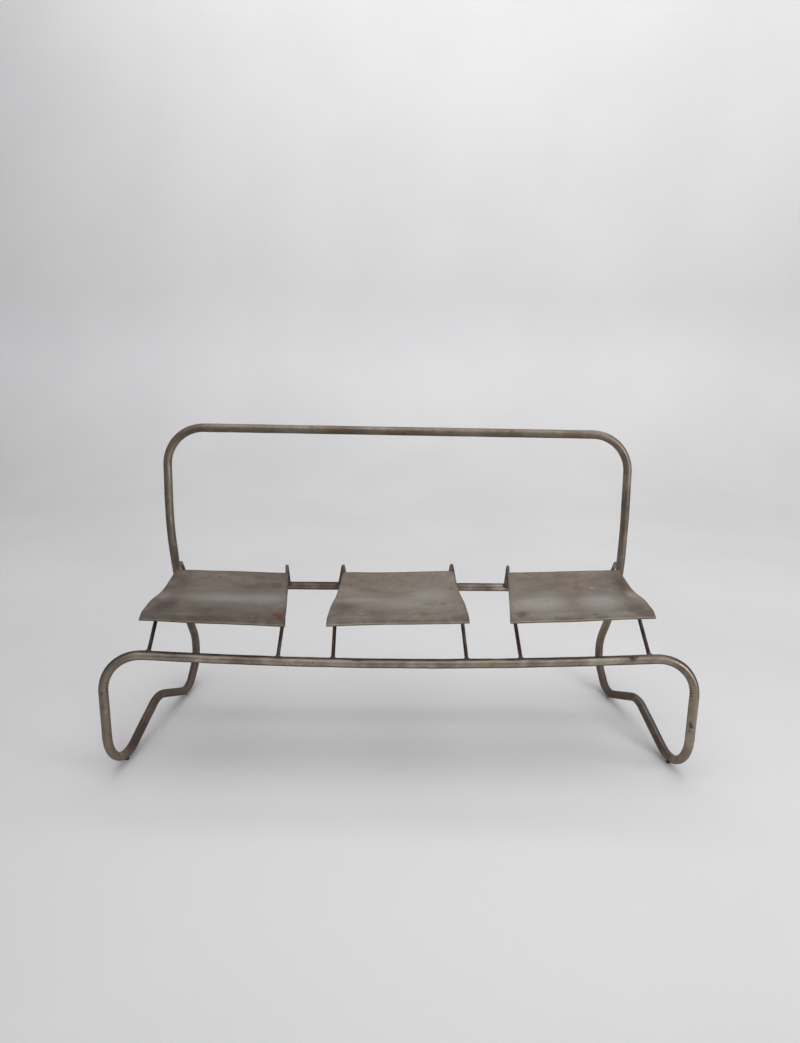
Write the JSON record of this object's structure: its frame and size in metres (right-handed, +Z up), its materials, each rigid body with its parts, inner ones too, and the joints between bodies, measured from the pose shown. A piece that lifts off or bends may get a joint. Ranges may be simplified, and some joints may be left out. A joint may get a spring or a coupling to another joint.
{
  "type": "three-seat metal bench",
  "caption": "Metal settee: one continuous loop of bent round steel tube carries three separate curved sheet-steel seats on bent rods, with an open back rail.",
  "frame": {"origin": "centre of the bounding box's base, on the floor between the four glides", "axes": "+X along the bench, to the right of someone who faces its front; +Y towards the back; +Z up. A sitter faces -Y"},
  "size_m": [1.5836, 0.6448, 0.8753],
  "materials": {
    "tube": "bare steel with an aged, mottled olive-brown patina and worn highlights",
    "seat_sheet": "bare sheet steel with an aged brown-grey patina, fine scratches and faint rust tints",
    "rod": "dark brown aged bare steel",
    "weld": "dark oxidised weld bead",
    "glide": "matte black"
  },
  "bodies": {
    "root": {"back_hoop_tube": "tube", "left_side_tube": "tube", "right_side_tube": "tube", "front_rail_tube": "tube", "rear_crossbar": "tube", "upper_left_spigot": "tube", "upper_right_spigot": "tube", "front_left_spigot": "tube", "front_right_spigot": "tube", "upper_left_butt_weld": "weld", "upper_right_butt_weld": "weld", "front_left_butt_weld": "weld", "front_right_butt_weld": "weld", "crossbar_left_weld": "weld", "crossbar_right_weld": "weld", "left_seat_plate": "seat_sheet", "middle_seat_plate": "seat_sheet", "right_seat_plate": "seat_sheet", "left_seat_left_rod": "rod", "left_seat_right_rod": "rod", "middle_seat_left_rod": "rod", "middle_seat_right_rod": "rod", "right_seat_left_rod": "rod", "right_seat_right_rod": "rod", "left_seat_rail_welds": "weld", "middle_seat_rail_welds": "weld", "right_seat_rail_welds": "weld", "left_seat_crossbar_welds": "weld", "middle_seat_crossbar_welds": "weld", "right_seat_crossbar_welds": "weld", "left_seat_under_welds": "weld", "middle_seat_under_welds": "weld", "right_seat_under_welds": "weld", "front_left_glide": "glide", "front_right_glide": "glide", "rear_left_glide": "glide", "rear_right_glide": "glide"}
  },
  "joints": []
}
